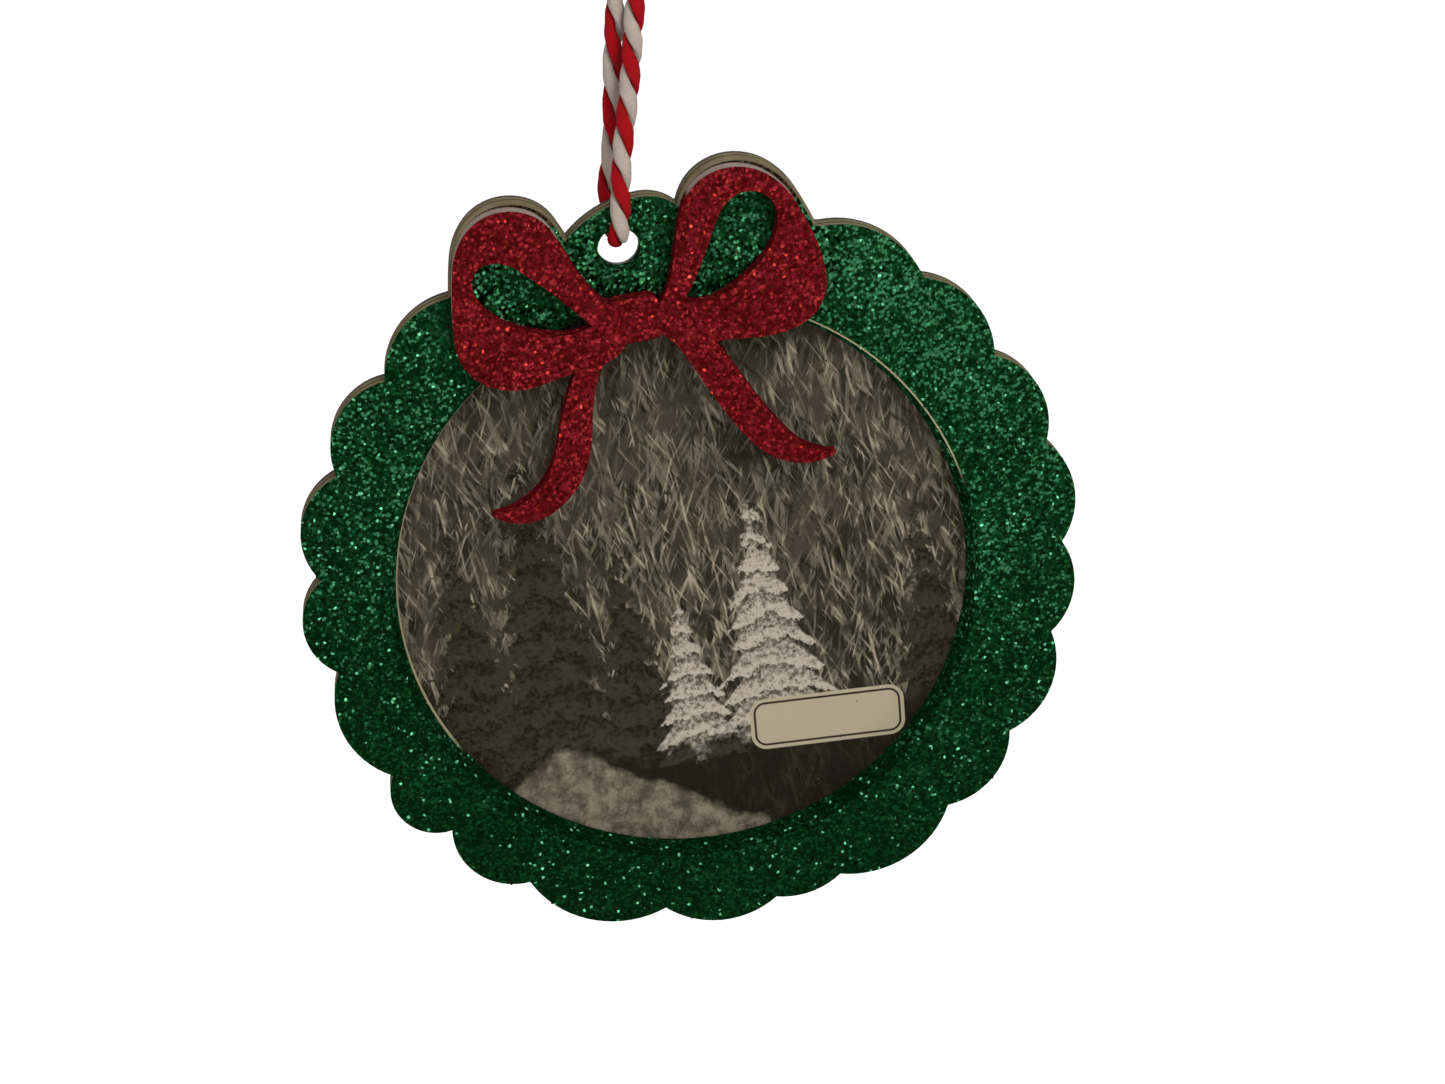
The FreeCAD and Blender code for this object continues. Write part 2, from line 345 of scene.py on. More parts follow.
    @staticmethod
    def build_fir() -> Effect:
        """One fir tree with ragged tiers of branches, as a mask and a light share.

        Returns:
            The group.
        """
        ragged_scale = 0.55
        branch_droop = 0.07
        tier_waver = 0.16
        tier_width = 1.1
        tier_taper = 0.45
        edge_waver = 0.75
        edge_fade = 0.5
        tip_fade = (1.0, 0.97)
        foot_fade = (0.0, 0.01)
        fluff_scale = 1.5
        fluff_light = 1.7
        tier_shade = 0.4
        light_range = (0.35, 0.85)
        effect = Effect(
            "fir_tree",
            {"Place": "Vector", "Axis": "Float", "Ground": "Float", "Height": "Float",
             "Half Width": "Float", "Tiers": "Float"},
            {"Mask": "Float", "Light": "Float"},
        )
        bench = effect.bench
        given = effect.given
        axes = bench.axes(given["Place"])
        off = bench.math("ABSOLUTE", bench.minus(axes[0], given["Axis"]))
        ragged = bench.noise(given["Place"], ragged_scale, detail=5.0, rough=0.7)
        share = bench.math("DIVIDE", bench.minus(axes[2], given["Ground"]), given["Height"])
        droop = bench.times(bench.math("DIVIDE", off, given["Half Width"]), branch_droop)
        wave = bench.plus(bench.plus(share, droop), bench.times(ragged, tier_waver))
        tier = bench.math("FRACT", bench.times(wave, given["Tiers"]))
        wide = bench.minus(1.0, share)
        wide = bench.times(wide, bench.minus(tier_width, bench.times(tier, tier_taper)))
        wide = bench.plus(wide, bench.times(bench.minus(ragged, NOISE_MIDDLE), edge_waver))
        inside = bench.minus(bench.times(wide, given["Half Width"]), off)
        mask = bench.times(bench.smooth(inside, 0.0, edge_fade), bench.smooth(share, *tip_fade))
        effect.put("Mask", bench.times(mask, bench.smooth(share, *foot_fade)))
        fluff = bench.noise(given["Place"], fluff_scale, detail=4.0, rough=0.7)
        light = bench.minus(bench.times(fluff, fluff_light), bench.times(tier, tier_shade))
        effect.put("Light", bench.smooth(light, *light_range))
        return effect


def fresh_material(name: str) -> tuple[Material, Bench, bpy.types.Node]:
    """Material with an empty Principled shader.

    Args:
        name: the material's name.

    Returns:
        The material, its tree and its shader node.
    """
    material = bpy.data.materials.new(name)
    material.use_nodes = True
    bench = Bench(material.node_tree)
    return material, bench, material.node_tree.nodes["Principled BSDF"]


def object_place(bench: Bench) -> Socket:
    """The surface point in the object's own coordinates, in metres."""
    return bench.add("TexCoord").outputs["Object"]


def flat_place(bench: Bench, place: object) -> Socket:
    """A place without its depth, seen from the front."""
    axes = bench.axes(place)
    return bench.add("CombineXYZ", {0: axes[0], 2: axes[2]}).outputs[0]


@dataclass(frozen=True)
class GlitterFinish:
    """Glitter film of one hue.

    Its flakes get lighter towards the top right, a painted light as if it fell from there. With a hem
    colour, its rim is darker outside hem_reach, left and right, from hem_side away from the middle: a
    painted shade where the bow's lobes would shade it.
    """

    name: str
    dark: Colour
    middle: Colour
    light: Colour
    spark: Colour
    spark_share: float
    grazing: Colour
    flakes_per_metre: float = 2700.0
    tilt: float = 0.9
    painted_light_per_metre: float = 0.0
    painted_light_slant: float = 0.35
    metallic: float = 0.8
    specular: float = 0.15
    # Painted shade on the film's rim outside the bow's lobes, or None for none.
    hem_shade: Colour | None = None
    hem_reach: Range = (50.2 * MM, 51.9 * MM)
    hem_fade: float = 0.2 * MM
    hem_side: float = 6.5 * MM
    hem_side_fade: float = 0.3 * MM
    hem_weight: float = 0.9

    def lay(self, effects: Effects, bench: Bench, place: object) -> bpy.types.NodeOutputs:
        """Lay the flakes' pattern in a material.

        Args:
            effects: the shared groups.
            bench: the material's tree.
            place: the point in metres.

        Returns:
            The flakes' colour, normal and roughness.
        """
        axes = bench.axes(place)
        # Painted light: the flakes grow lighter along this slant, up and to the right.
        height = bench.plus(axes[2], bench.times(axes[0], self.painted_light_slant))
        return effects.flakes.use(bench, {
            "Place": place, "Flakes Per Metre": self.flakes_per_metre, "Dark": self.dark,
            "Middle": self.middle, "Light": self.light, "Spark": self.spark,
            "Spark Share": self.spark_share, "Tilt": self.tilt,
            "Lift": bench.times(height, self.painted_light_per_metre),
        })

    def painted_hem_shade(self, bench: Bench, place: object, colour: object) -> Socket:
        """Paint shade on the film's thin rim that shows outside the bow's lobes, where the bow would shade
        it.

        Args:
            bench: the material's tree.
            place: the point in metres.
            colour: the flakes' colour.

        Returns:
            The colour with the painted shade on the rim.
        """
        across = bench.axes(place)[0]
        far = bench.length(flat_place(bench, place))
        rims = []
        for side, reach in zip((-1.0, 1.0), self.hem_reach):
            aside = bench.times(across, side)
            aside = bench.smooth(aside, self.hem_side, self.hem_side + self.hem_side_fade)
            rims.append(bench.times(bench.smooth(far, reach, reach + self.hem_fade), aside))
        rim = bench.math("MAXIMUM", *rims)
        return bench.mix(bench.times(rim, self.hem_weight), colour, self.hem_shade)

    def build(self, effects: Effects) -> Material:
        """Make the material.

        Args:
            effects: the shared groups.

        Returns:
            The material.
        """
        material, bench, shader = fresh_material(self.name)
        place = object_place(bench)
        flakes = self.lay(effects, bench, place)
        colour = self.painted_hem_shade(bench, place, flakes["Color"]) if self.hem_shade else flakes["Color"]
        bench.feed(shader.inputs["Base Color"], colour)
        bench.feed(shader.inputs["Roughness"], flakes["Roughness"])
        bench.feed(shader.inputs["Normal"], flakes["Normal"])
        shader.inputs["Metallic"].default_value = self.metallic
        shader.inputs["Specular Tint"].default_value = (*self.grazing, 1.0)
        shader.inputs["Specular IOR Level"].default_value = self.specular
        return material


@dataclass(frozen=True)
class LitEdge:
    """A stretch of a sheet's round inner edge that gleams, between two radii.

    Its angles are in degrees, from +X towards +Z.
    """

    angle: float
    half_angle: float
    inner: float
    outer: float
    share: float = 1.0
    fade: float = 0.1 * MM
    end_fade: float = 0.07

    def sector(self, bench: Bench, flat: object) -> Socket:
        """1 inside the stretch's sector round the window's middle, fading at both of its ends.

        Args:
            bench: the material's tree.
            flat: the point, without its depth.

        Returns:
            The mask.
        """
        angle = math.radians(self.angle)
        middle = (math.cos(angle), 0.0, math.sin(angle))
        way = bench.add("VectorMath", {0: bench.vector("NORMALIZE", flat), 1: middle},
                        operation="DOT_PRODUCT").outputs["Value"]
        limit = math.cos(math.radians(self.half_angle))
        return bench.smooth(way, limit, limit + self.end_fade)

    def mask(self, bench: Bench, flat: object) -> Socket:
        """How much the edge gleams at a place.

        Args:
            bench: the material's tree.
            flat: the point, without its depth.

        Returns:
            The mask.
        """
        far = bench.length(flat)
        band = bench.times(bench.smooth(far, self.inner - self.fade, self.inner),
                           bench.smooth(far, self.outer + self.fade, self.outer))
        return bench.times(bench.times(band, self.share), self.sector(bench, flat))


@dataclass(frozen=True)
class Zone:
    """A round zone of a sheet, by its middle and radius, seen from the front."""

    across: float
    up: float
    reach: float
    fade: float = 0.3 * MM

    def mask(self, bench: Bench, flat: object) -> Socket:
        """1 inside the zone, 0 outside."""
        off = bench.vector("SUBTRACT", flat, (self.across, 0.0, self.up))
        return bench.smooth(bench.length(off), self.reach + self.fade, self.reach)


@dataclass(frozen=True)
class SheetFinish:
    """Clear sheet whose cut edges are pale, except in the zones that show its glitter.

    Where seam_depth is given, a dark seam runs round the edge at that place along Y.
    """

    name: str
    pale: Colour
    glitter: GlitterFinish
    tinted: tuple[Zone, ...]
    lit: tuple[LitEdge, ...] = ()
    gleam: Colour = srgb("#b3a888")
    grain_scale: float = 420.0
    grain_amount: float = 0.35
    seam: Colour = srgb("#2c261c")
    seam_depth: float | None = None
    seam_fade: Range = (0.26 * MM, 0.12 * MM)
    seam_weight: float = 0.85
    opacity: float = 0.82
    roughness: float = 0.2
    specular: float = 0.0

    def seamed(self, bench: Bench, place: object, colour: object) -> Socket:
        """Draw the dark seam round a sheet's edge.

        Args:
            bench: the material's tree.
            place: the point in metres.
            colour: the edge's colour.

        Returns:
            The colour with the seam.
        """
        depth = bench.math("ABSOLUTE", bench.minus(bench.axes(place)[1], self.seam_depth))
        seam = bench.smooth(depth, *self.seam_fade)
        return bench.mix(bench.times(seam, self.seam_weight), colour, self.seam)

    def build(self, effects: Effects) -> Material:
        """Make the material.

        Args:
            effects: the shared groups.

        Returns:
            The material.
        """
        material, bench, shader = fresh_material(self.name)
        place = object_place(bench)
        flat = flat_place(bench, place)
        masks = [zone.mask(bench, flat) for zone in self.tinted]
        inside = masks[0]
        for mask in masks[1:]:
            inside = bench.math("MAXIMUM", inside, mask)
        colour = effects.grain.use(bench, {
            "Place": place, "Scale": self.grain_scale, "Color": self.pale, "Amount": self.grain_amount,
        })["Color"]
        if self.seam_depth is not None:
            colour = self.seamed(bench, place, colour)
        colour = bench.mix(inside, colour, self.glitter.lay(effects, bench, place)["Color"])
        for edge in self.lit:
            colour = bench.mix(edge.mask(bench, flat), colour, self.gleam)
        bench.feed(shader.inputs["Base Color"], colour)
        cover = bench.times(inside, 1.0 - self.opacity)
        bench.feed(shader.inputs["Alpha"], bench.plus(cover, self.opacity))
        shader.inputs["Roughness"].default_value = self.roughness
        shader.inputs["Specular IOR Level"].default_value = self.specular
        return material


@dataclass(frozen=True)
class CoverFinish:
    """Clear film over the print, with faint streaks where it was wiped."""

    name: str = "clear_cover_film"
    colour: Colour = srgb("#8f8779")
    opacity: float = 0.004
    streak_opacity: float = 0.022
    streak_turn: float = 55.0
    streak_across: float = 0.35
    streak_along: float = 0.05
    streak_limit: float = 0.55
    roughness: float = 0.06

    def build(self, effects: Effects) -> Material:
        """Make the material.

        Args:
            effects: the shared groups.

        Returns:
            The material.
        """
        material, bench, shader = fresh_material(self.name)
        place = bench.scaled(object_place(bench), 1 / MM)
        streaks = effects.grass.use(bench, {
            "Place": place, "Turn": math.radians(self.streak_turn), "Across Scale": self.streak_across,
            "Along Scale": self.streak_along, "Limit": self.streak_limit,
        })
        spread = bench.times(streaks["Mask"], self.streak_opacity - self.opacity)
        shader.inputs["Base Color"].default_value = (*self.colour, 1.0)
        bench.feed(shader.inputs["Alpha"], bench.plus(spread, self.opacity))
        shader.inputs["Roughness"].default_value = self.roughness
        return material


@dataclass(frozen=True)
class PanelFinish:
    """Plain moulded or cut panel."""

    name: str
    colour: Colour
    roughness: float = 0.55
    grain_scale: float = 900.0
    grain_amount: float = 0.35
    grain_height: float = 0.04 * MM
    grain_strength: float = 0.6

    def build(self, effects: Effects) -> Material:
        """Make the material.

        Args:
            effects: the shared groups.

        Returns:
            The material.
        """
        material, bench, shader = fresh_material(self.name)
        grain = effects.grain.use(bench, {
            "Place": object_place(bench), "Scale": self.grain_scale, "Color": self.colour,
            "Amount": self.grain_amount,
        })
        bump = bench.add("Bump", {"Height": grain["Height"], "Distance": self.grain_height,
                                  "Strength": self.grain_strength})
        bench.feed(shader.inputs["Base Color"], grain["Color"])
        bench.feed(shader.inputs["Normal"], bump.outputs[0])
        shader.inputs["Roughness"].default_value = self.roughness
        return material


@dataclass(frozen=True)
class Reeds:
    """One layer of the print's reeds, all leaning one way.

    Its turn is in degrees and its scales are for millimetres. A higher limit gives fewer blades.
    """

    turn: float
    fineness: float
    along: float
    limit: float
    weight: float
    tone: Colour

    def lay(self, effects: Effects, bench: Bench, place: object, under: object) -> Socket:
        """Paint the layer.

        Args:
            effects: the shared groups.
            bench: the material's tree.
            place: the point in millimetres.
            under: the colour below.

        Returns:
            The colour with the reeds.
        """
        blades = effects.grass.use(bench, {
            "Place": place, "Turn": math.radians(self.turn), "Across Scale": self.fineness,
            "Along Scale": self.along, "Limit": self.limit,
        })
        return bench.mix(bench.times(blades["Mask"], self.weight), under, self.tone)


@dataclass(frozen=True)
class Fir:
    """One of the print's fir trees, with its sizes in millimetres."""

    axis: float
    ground: float
    height: float
    half_width: float
    tiers: float
    tone: Colour
    light: Colour

    def lay(self, effects: Effects, bench: Bench, place: object, under: object) -> Socket:
        """Paint the tree.

        Args:
            effects: the shared groups.
            bench: the material's tree.
            place: the point in millimetres.
            under: the colour below.

        Returns:
            The colour with the tree.
        """
        tree = effects.fir.use(bench, {
            "Place": place, "Axis": self.axis, "Ground": self.ground, "Height": self.height,
            "Half Width": self.half_width, "Tiers": self.tiers,
        })
        return bench.mix(tree["Mask"], under, bench.mix(tree["Light"], self.tone, self.light))


@dataclass(frozen=True)
class SnowyGround:
    """The print's dark ground, with a low bank of snow at the left and bright specks."""

    dark: Colour
    drift: Colour
    crust: Colour
    specks: Colour
    swell_scale: float = 0.16
    swell_height: float = 12.0
    ground_range: Range = (-16.5, -18.5)
    ground_weight: float = 0.94
    bank_left: float = 20.0
    bank_slope: float = 0.6
    bank_swell: float = 0.6
    bank_range: Range = (-16.5, -18.0)
    bank_weight: float = 0.85
    crust_scale: float = 0.5
    crust_range: Range = (0.34, 0.7)
    crust_weight: float = 0.7
    speck_scale: float = 1.7
    speck_range: Range = (0.67, 0.72)

    def lay(self, bench: Bench, place: object, under: object) -> Socket:
        """Paint the ground.

        Args:
            bench: the material's tree.
            place: the point in millimetres.
            under: the colour below.

        Returns:
            The colour with the ground.
        """
        across, _, up = bench.axes(place)
        swell = bench.noise(place, self.swell_scale, detail=5.0, rough=0.6)
        swell = bench.times(swell, self.swell_height)
        low = bench.smooth(bench.plus(up, swell), *self.ground_range)
        colour = bench.mix(bench.times(low, self.ground_weight), under, self.dark)
        off = bench.math("ABSOLUTE", bench.plus(across, self.bank_left))
        bank = bench.plus(up, bench.times(off, self.bank_slope))
        bank = bench.plus(bank, bench.times(swell, self.bank_swell))
        bank = bench.smooth(bank, *self.bank_range)
        crust = bench.noise(place, self.crust_scale, detail=6.0, rough=0.75)
        crust = bench.smooth(crust, *self.crust_range)
        tone = bench.mix(bench.times(crust, self.crust_weight), self.drift, self.crust)
        colour = bench.mix(bench.times(bank, self.bank_weight), colour, tone)
        specks = bench.noise(place, self.speck_scale, detail=3.0, rough=0.6)
        specks = bench.smooth(specks, *self.speck_range)
        bare = bench.math("SUBTRACT", low, bank, clamp=True)
        return bench.mix(bench.times(specks, bare), colour, self.specks)


@dataclass(frozen=True)
class BareLabel:
    """The print's bare label: a tilted plate with round corners and a thin border."""

    tone: Colour = srgb("#a59c83")
    border: Colour = srgb("#2e2620")
    middle: tuple[float, float] = (15.6, -23.1)
    half_size: tuple[float, float] = (10.2, 3.5)
    tilt: float = -4.0
    corner: float = 2.0
    fade: float = 0.1
    border_inset: Range = (0.7, 0.45)
    border_fade: float = 0.05

    def lay(self, bench: Bench, place: object, under: object) -> Socket:
        """Paint the label.

        Args:
            bench: the material's tree.
            place: the point in millimetres.
            under: the colour below.

        Returns:
            The colour with the label.
        """
        axes = bench.axes(place)
        turn = math.radians(self.tilt)
        x = bench.minus(axes[0], self.middle[0])
        z = bench.minus(axes[2], self.middle[1])
        along = bench.plus(bench.times(x, math.cos(turn)), bench.times(z, math.sin(turn)))
        over = bench.minus(bench.times(z, math.cos(turn)), bench.times(x, math.sin(turn)))
        squares = []
        for way, half in zip((along, over), self.half_size):
            past = bench.minus(bench.math("ABSOLUTE", way), half - self.corner)
            past = bench.math("MAXIMUM", past, 0.0)
            squares.append(bench.times(past, past))
        far = bench.math("SQRT", bench.plus(*squares))
        colour = bench.mix(bench.smooth(far, self.corner + self.fade, self.corner), under, self.tone)
        inner, outer = (self.corner - inset for inset in self.border_inset)
        line = bench.times(bench.smooth(far, inner - self.border_fade, inner),
                           bench.smooth(far, outer + self.border_fade, outer))
        return bench.mix(line, colour, self.border)


@dataclass(frozen=True)
class PrintFinish:
    """Printed card in warm greys: a plain winter wood with reeds and firs, and a bare label.

    Its places are in millimetres, and its noise scales are for millimetres.
    """

    name: str = "winter_print"
    dusk: Colour = srgb("#262118")
    haze: Colour = srgb("#423b2f")
    straw: Colour = srgb("#6f6857")
    bright_straw: Colour = srgb("#a0967f")
    far_wood: Colour = srgb("#1d1911")
    shade: Colour = srgb("#1a160e")
    frost: Colour = srgb("#373125")
    snow: Colour = srgb("#aea595")
    drift: Colour = srgb("#4d463a")
    haze_scale: float = 0.11
    haze_lift: float = 0.004
    haze_range: Range = (0.36, 0.66)
    reeds: tuple[Reeds, ...] = (
        Reeds(-24.0, 1.2, 0.14, 0.50, 0.80, far_wood),
        Reeds(14.0, 1.3, 0.13, 0.53, 0.80, straw),
        Reeds(-11.0, 1.5, 0.12, 0.54, 0.75, straw),
        Reeds(40.0, 1.4, 0.17, 0.55, 0.75, far_wood),
        Reeds(-37.0, 1.5, 0.18, 0.57, 0.75, straw),
        Reeds(5.0, 1.9, 0.16, 0.60, 0.85, bright_straw),
        Reeds(29.0, 1.9, 0.20, 0.61, 0.80, bright_straw),
        Reeds(-24.0, 2.3, 0.22, 0.62, 0.80, bright_straw),
    )
    firs: tuple[Fir, ...] = (
        Fir(31.0, -40.0, 46.0, 10.0, 11.0, shade, frost),
        Fir(-8.5, -44.0, 50.0, 12.0, 12.0, shade, frost),
        Fir(-29.0, -46.0, 58.0, 15.0, 13.0, shade, frost),
        Fir(-19.0, -46.0, 66.0, 17.0, 15.0, shade, frost),
        Fir(-1.5, -26.0, 23.0, 6.5, 8.0, drift, snow),
        Fir(9.5, -25.0, 34.0, 9.0, 10.0, drift, snow),
    )
    ground: SnowyGround = SnowyGround(dark=shade, drift=drift, crust=bright_straw, specks=straw)
    label: BareLabel = BareLabel()
    grain_scale: float = 5.0
    grain_amount: float = 0.35
    roughness: float = 0.6
    specular: float = 0.03

    def build(self, effects: Effects) -> Material:
        """Make the material.

        Args:
            effects: the shared groups.

        Returns:
            The material.
        """
        material, bench, shader = fresh_material(self.name)
        place = bench.scaled(object_place(bench), 1 / MM)
        haze = bench.noise(place, self.haze_scale, detail=4.0, rough=0.6)
        haze = bench.plus(haze, bench.times(bench.axes(place)[2], self.haze_lift))
        colour = bench.mix(bench.smooth(haze, *self.haze_range), self.dusk, self.haze)
        for growth in (*self.reeds, *self.firs):
            colour = growth.lay(effects, bench, place, colour)
        colour = self.ground.lay(bench, place, colour)
        grain = effects.grain.use(bench, {
            "Place": place, "Scale": self.grain_scale, "Color": colour, "Amount": self.grain_amount,
        })
        bench.feed(shader.inputs["Base Color"], self.label.lay(bench, place, grain["Color"]))
        shader.inputs["Roughness"].default_value = self.roughness
        shader.inputs["Specular IOR Level"].default_value = self.specular
        return material


@dataclass(frozen=True)
class TwineFinish:
    """Two cotton strands, told apart by an attribute, with fibres that follow their UV map."""

    name: str = "baker_twine"
    red: Colour = srgb("#aa0e17")
    white: Colour = srgb("#c4b4a7")
    fibres_around: float = 9.0
    fibre_waver: float = 3.0
    fluff_scale: float = 2600.0
    darkest: float = 0.62
    shade_share: float = 0.36
    fluff_height: float = 0.8
    bump_height: float = 0.12 * MM
    bump_strength: float = 0.8
    roughness: float = 0.9
    specular: float = 0.1

    def build(self) -> Material:
        """Make the material.

        Returns:
            The material.
        """
        material, bench, shader = fresh_material(self.name)
        strand = bench.add("Attribute", attribute_name="strand").outputs["Fac"]
        uv = bench.add("TexCoord").outputs["UV"]
        fibre = bench.add("TexWave", {
            "Vector": uv, "Scale": self.fibres_around, "Distortion": self.fibre_waver,
            "Detail": 3.0, "Detail Scale": 2.0,
        }).outputs["Fac"]
        fluff = bench.noise(object_place(bench), self.fluff_scale, detail=4.0, rough=0.7)
        shade = bench.plus(self.darkest, bench.times(bench.plus(fibre, fluff), self.shade_share))
        colour = bench.scaled(bench.mix(strand, self.red, self.white), shade)
        height = bench.plus(fibre, bench.times(fluff, self.fluff_height))
        bump = bench.add("Bump", {"Height": height, "Distance": self.bump_height,
                                  "Strength": self.bump_strength})
        bench.feed(shader.inputs["Base Color"], colour)
        bench.feed(shader.inputs["Normal"], bump.outputs[0])
        shader.inputs["Roughness"].default_value = self.roughness
        shader.inputs["Specular IOR Level"].default_value = self.specular
        return material


def deselect() -> None:
    """Leave object mode's selection empty."""
    bpy.ops.object.select_all(action="DESELECT")


def dress(node: str, material: Material) -> None:
    """Give all of a solid's slots one material.

    Args:
        node: the solid's name.
        material: its finish.
    """
    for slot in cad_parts[node].material_slots:
        slot.material = material
    log.info("%s, finished as %s", node, material.name)


def mesh_object(name: str, mesh: bpy.types.Mesh, material: Material) -> bpy.types.Object:
    """Put a mesh in the scene as a piece.

    Args:
        name: the piece's name.
        mesh: its mesh.
        material: its finish.

    Returns:
        The piece.
    """
    piece = bpy.data.objects.new(name, mesh)
    bpy.context.scene.collection.objects.link(piece)
    mesh.materials.append(material)
    return piece


@dataclass
class TwistedTwine:
    """The loop of twine and its knot, as twists of a red and a white strand.

    The back leg's twist is laxer than the front leg's, and it turns on and thins where the
    twine folds through the hole. Turns are in radians, tail_spread is in degrees, ply_pitch is
    a share of the strand's own pitch, and the route's points are in millimetres.
    """

    diameter: float = 2.4 * MM
    length: float = 0.118
    strand_depth: float = 0.64 * MM
    strand_width: float = 0.92 * MM
    strand_offset: float = 0.62 * MM
    front_pitch: float = 7.7 * MM
    back_pitch: float = 10.4 * MM
    first_turn: float = math.pi
    fold_share: float = 0.505
    fold_turn: float = 1.34
    fold_half: float = 2.5 * MM
    fold_squeeze: float = 0.17
    squeeze_half: float = 3.6 * MM
    cut_size: float = 0.6
    step: float = 0.3 * MM
    sides: int = 16
    plies: int = 3
    ply_depth: float = 0.04
    ply_pitch: float = 0.6
    fibre_turn: float = 1.7
    fibre_length: float = 0.25
    wraps: float = 2.0
    wrap_steps: int = 40
    wrap_radius: float = 2.1 * MM
    wrap_narrowing: float = 0.5 * MM
    knot_low: float = 0.7 * MM
    knot_high: float = 5.2 * MM
    tail_length: float = 6.0 * MM
    tail_spread: float = 20.0
    tail_bow: float = 0.2 * MM
    route: list[Place] = field(default_factory=lambda: [
        (10.9, -2.1, 101.3), (10.2, -2.1, 97.8), (10.8, -2.1, 94.0), (11.6, -2.1, 89.1),
        (10.5, -2.2, 84.2), (7.8, -2.5, 79.5), (5.5, -2.9, 74.8), (4.2, -3.3, 69.0),
        (2.7, -3.9, 63.1), (0.9, -4.9, 57.3), (-0.3, -5.6, 51.6), (-1.0, -5.8, 47.7),
        (-1.5, -4.2, 46.25), (-1.7, 0.3, 46.25), (-1.6, 1.9, 47.9), (-1.5, 1.7, 51.5),
        (0.0, 0.8, 56.6), (1.0, -0.2, 62.7), (2.0, -0.9, 68.9), (3.4, -1.3, 74.9),
        (3.3, -1.7, 80.5), (2.2, -2.0, 85.8), (3.1, -2.1, 90.9), (5.8, -2.1, 95.0),
        (7.8, -2.1, 98.3), (8.5, -2.1, 101.8),
    ])

    def centreline(self, name: str, points: Sequence[Vector]) -> list[Vector]:
        """Even points along the smooth spline that a route controls.

        Args:
            name: the guide curve's name.
            points: the route's control points.

        Returns:
            Points one step apart, from the route's start to its end.
        """
        curve = bpy.data.curves.new(name, "CURVE")
        curve.dimensions = "3D"
        curve.resolution_u = 24
        spline = curve.splines.new("NURBS")
        spline.points.add(len(points) - 1)
        for control, point in zip(spline.points, points):
            control.co = (*point, 1.0)
        spline.order_u = 3
        spline.use_endpoint_u = True
        guide = bpy.data.objects.new(name, curve)
        bpy.context.scene.collection.objects.link(guide)
        mesh = bpy.data.meshes.new_from_object(guide)
        line = [vertex.co.copy() for vertex in mesh.vertices]
        bpy.data.objects.remove(guide)
        bpy.data.meshes.remove(mesh)
        return self.evenly(line)

    def evenly(self, line: Sequence[Vector]) -> list[Vector]:
        """Set a line's points one step apart.

        Args:
            line: the points.

        Returns:
            The same line's even points, and its last point.
        """
        even = [line[0].copy()]
        spare = 0.0
        for a, b in zip(line, line[1:]):
            run = (b - a).length
            reach = self.step - spare
            while reach <= run:
                even.append(a.lerp(b, reach / run))
                reach += self.step
            spare = run - (reach - self.step)
        even.append(line[-1].copy())
        return even

    @staticmethod
    def headings(line: Sequence[Vector]) -> list[tuple[Vector, Vector]]:
        """Two directions across the line at each point, carried along it without twist.

        Args:
            line: the points.

        Returns:
            A pair of unit vectors for each point.
        """
        result = []
        along = (line[1] - line[0]).normalized()
        side = along.orthogonal().normalized()
        for i in range(len(line)):
            ahead = line[min(i + 1, len(line) - 1)] - line[max(i - 1, 0)]
            turn = along.rotation_difference(ahead.normalized())
            side = (turn @ side).normalized()
            along = ahead.normalized()
            side = (side - along * side.dot(along)).normalized()
            result.append((side, along.cross(side)))
        return result

    def even_turns(self, count: int, start: float = 0.0) -> list[float]:
        """The twist's angle at each point of a line with an even pitch."""
        return [start - math.tau * i * self.step / self.front_pitch for i in range(count)]

    def loop_turns(self, count: int) -> list[float]:
        """The twist's angle at each point of the loop, laxer in its back leg.

        Args:
            count: how many points the loop's line has.

        Returns:
            The angles in radians.
        """
        fold = self.fold_share * (count - 1) * self.step
        turns = []
        for i in range(count):
            run = i * self.step
            front = math.tau * min(run, fold) / self.front_pitch
            back = math.tau * max(run - fold, 0.0) / self.back_pitch
            share = min(max((run - fold) / (2 * self.fold_half) + 0.5, 0.0), 1.0)
            turns.append(self.first_turn - front - back + self.fold_turn * share * share * (3 - 2 * share))
        return turns

    def loop_sizes(self, count: int) -> list[float]:
        """How thick the loop's twist is at each point, squeezed where it folds through the hole.

        Args:
            count: how many points the loop's line has.

        Returns:
            The share of the full thickness.
        """
        fold = self.fold_share * (count - 1) * self.step
        away = [min(abs(i * self.step - fold) / self.squeeze_half, 1.0) for i in range(count)]
        return [1 - self.fold_squeeze * (1 - share * share) ** 2 for share in away]

    def lay_strands(self, bm: bmesh.types.BMesh, line: Sequence[Vector], turns: Sequence[float],
                    sizes: Sequence[float] | None = None) -> None:
        """Add both strands, wound round a line, with their UV map and their colour attribute.

        Args:
            bm: the mesh that gets the strands.
            line: the twist's centreline.
            turns: the red strand's angle at each point, in radians.
            sizes: the twist's share of its full thickness at each point, or None for all of it.
        """
        sizes = sizes or [1.0] * len(line)
        uv_layer = bm.loops.layers.uv.verify()
        mark = bm.verts.layers.float.get("strand") or bm.verts.layers.float.new("strand")
        across = self.headings(line)
        for strand in Strand:
            outward = []
            for turn, (side, other) in zip(turns, across):
                angle = turn + math.pi * strand.value
                outward.append(side * math.cos(angle) + other * math.sin(angle))
            centres = [point + out * self.strand_offset * size
                       for point, out, size in zip(line, outward, sizes)]
            rings = self.add_rings(bm, centres, outward, turns, sizes)
            for ring in rings:
                for vertex in ring:
                    vertex[mark] = float(strand.value)
            self.add_skin(bm, rings, uv_layer)

